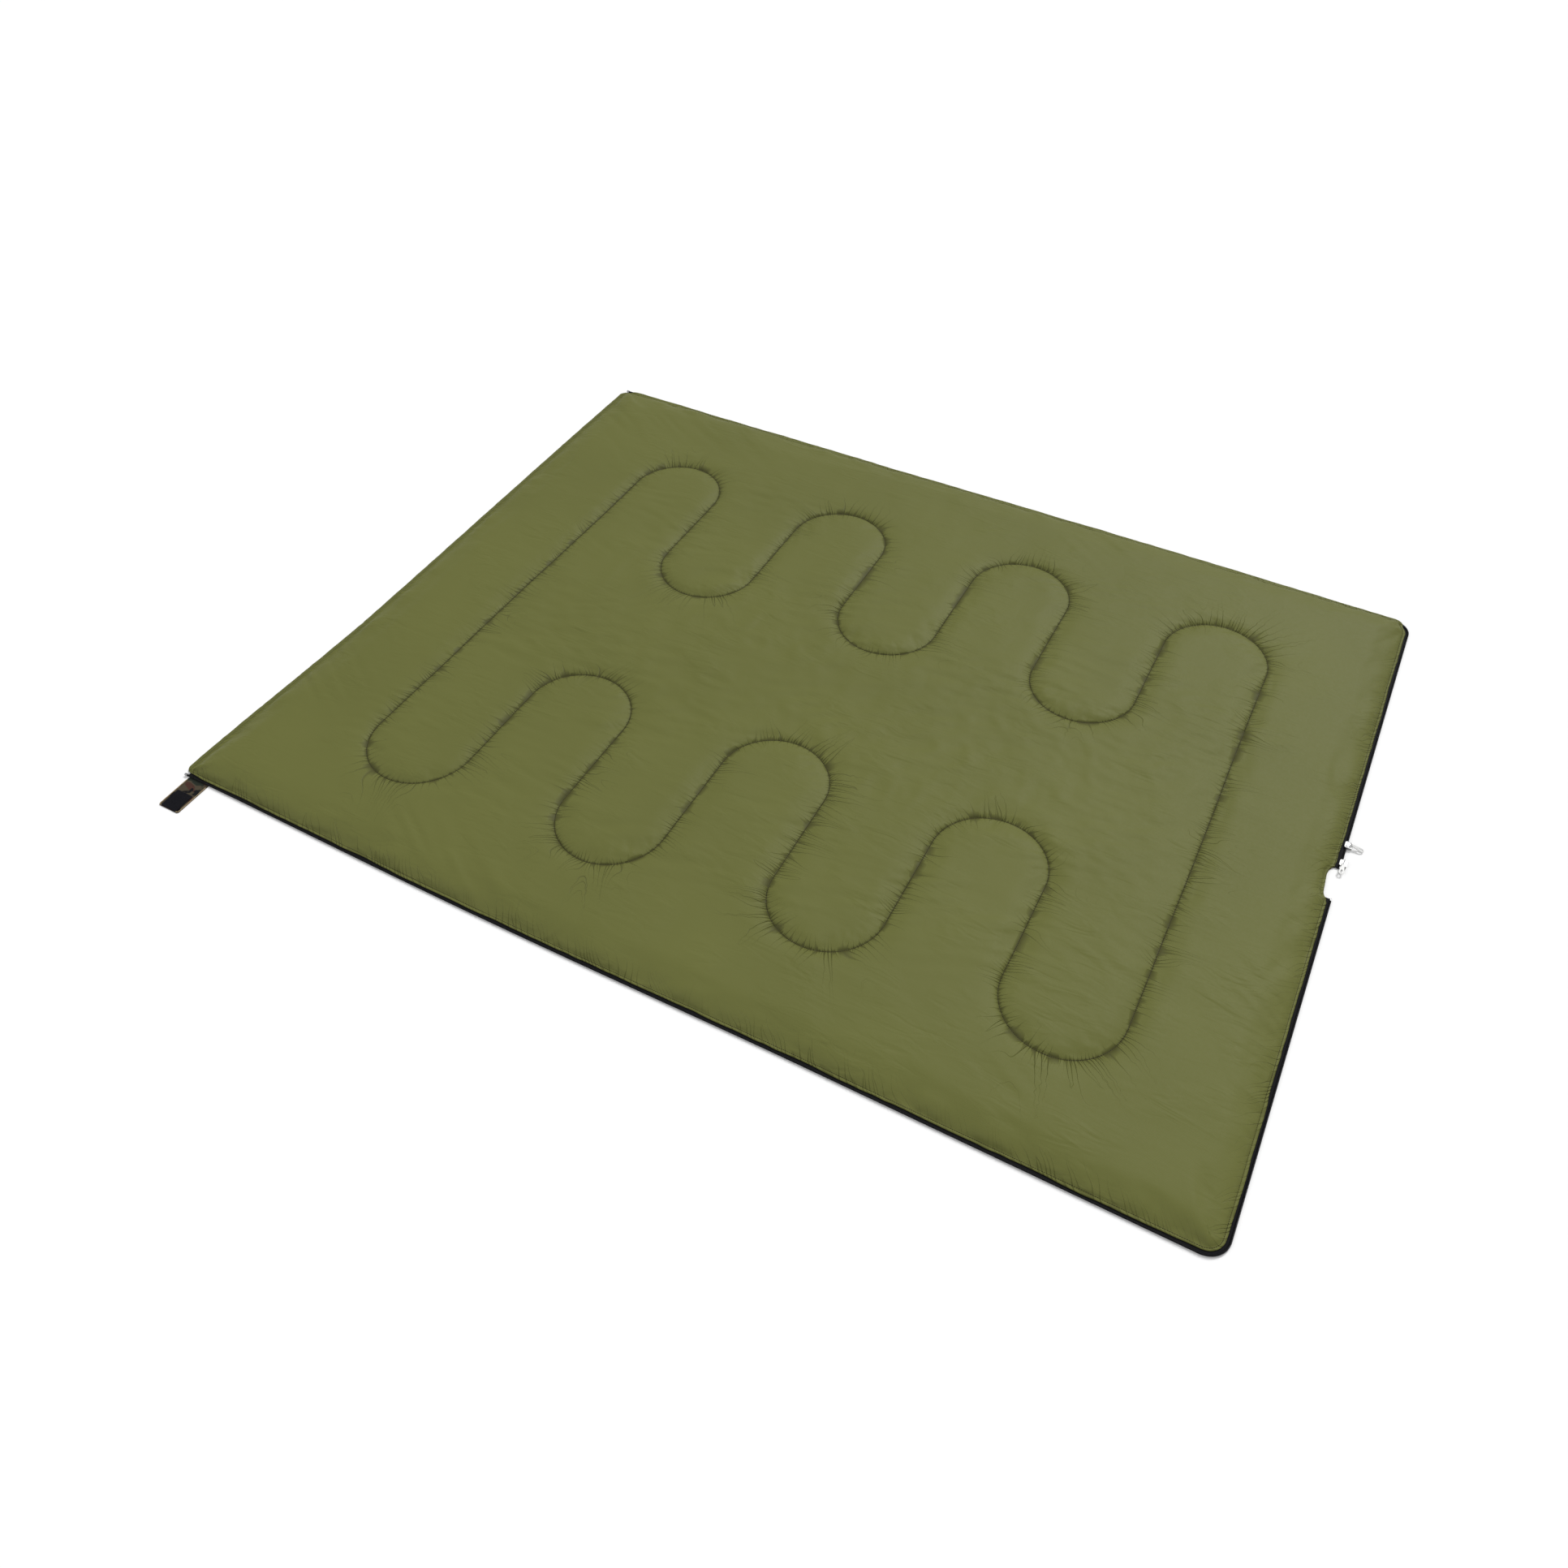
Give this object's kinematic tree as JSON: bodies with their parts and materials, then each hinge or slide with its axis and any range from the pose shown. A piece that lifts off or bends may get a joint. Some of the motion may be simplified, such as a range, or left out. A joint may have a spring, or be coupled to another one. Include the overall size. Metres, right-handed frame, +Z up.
{
  "type": "sleeping bag",
  "caption": "Rectangular quilted sleeping bag, unzipped and opened flat with its lining up, with an all-round zip, sliders and a closure strap at the head corner.",
  "frame": {"origin": "on the ground, in the middle of the fold line between the two halves", "axes": "+X towards the foot end, +Y towards the far half (the half that folds over), +Z up"},
  "size_m": [1.927, 1.552, 0.0225],
  "materials": {
    "shell_cloth": "printed camouflage weave, matt",
    "filling": "loose hollow-fibre batt",
    "lining_cloth": "plain olive polyester, soft satin",
    "thread": "dark olive sewing thread",
    "hem_cloth": "folded olive polyester",
    "zip_tape": "black woven zip tape",
    "zip_coil": "black nylon coil",
    "zip_metal": "brushed",
    "slider_enamel": "pale grey enamel, satin",
    "strap_cloth": "printed camouflage weave, matt",
    "strap_edging": "tan woven edging",
    "hook_patch": "dark hook tape",
    "loop_patch": "dark loop tape"
  },
  "bodies": {
    "near_half": {"outer_shell_near": "shell_cloth", "filling_near": "filling", "lining_near": "lining_cloth", "quilting_near": "thread", "head_hem_near": "hem_cloth", "zip_tape_near": "zip_tape", "zip_coil_near": "zip_coil", "topstitch_near": "thread", "top_stop_near": "zip_metal", "end_pin_near": "zip_metal", "strap_root": "strap_cloth"},
    "far_half": {"outer_shell_far": "shell_cloth", "filling_far": "filling", "lining_far": "lining_cloth", "quilting_far": "thread", "head_hem_far": "hem_cloth", "zip_tape_far": "zip_tape", "zip_coil_far": "zip_coil", "topstitch_far": "thread", "top_stop_far": "zip_metal", "end_pin_far": "zip_metal", "loop_patch": "loop_patch"},
    "slider_upper_body": {"slider_upper": "slider_enamel", "bail_upper": "slider_enamel"},
    "pull_upper_body": {"pull_upper": "slider_enamel"},
    "slider_lower_body": {"slider_lower": "slider_enamel", "bail_lower": "slider_enamel"},
    "pull_lower_body": {"pull_lower": "slider_enamel"},
    "strap": {"closure_strap": "strap_cloth", "strap_edging": "strap_edging", "hook_patch": "hook_patch"}
  },
  "joints": [
    {"name": "fold", "type": "hinge", "parent": "near_half", "child": "far_half", "pos_m": [0, 0, 0.023], "axis": [1, 0, 0], "range_deg": [0, 180]},
    {"name": "slider_upper_travel", "type": "slide", "parent": "far_half", "child": "slider_upper_body", "axis": [0, 1, 0], "range_m": [0, 0.6]},
    {"name": "slider_lower_travel", "type": "slide", "parent": "far_half", "child": "slider_lower_body", "axis": [0, 1, 0], "range_m": [0, 0.025]},
    {"name": "pull_upper_lift", "type": "hinge", "parent": "slider_upper_body", "child": "pull_upper_body", "pos_m": [0.9512, 0.082, 0.0092], "axis": [0, -1, 0], "range_deg": [0, 150]},
    {"name": "pull_lower_lift", "type": "hinge", "parent": "slider_lower_body", "child": "pull_lower_body", "pos_m": [0.9512, 0.037, 0.0092], "axis": [-1, 0, 0], "range_deg": [0, 150]},
    {"name": "strap_fold", "type": "hinge", "parent": "near_half", "child": "strap", "pos_m": [-0.909, -0.7435, 0.0015], "axis": [-1, 0, 0], "range_deg": [0, 90]}
  ]
}
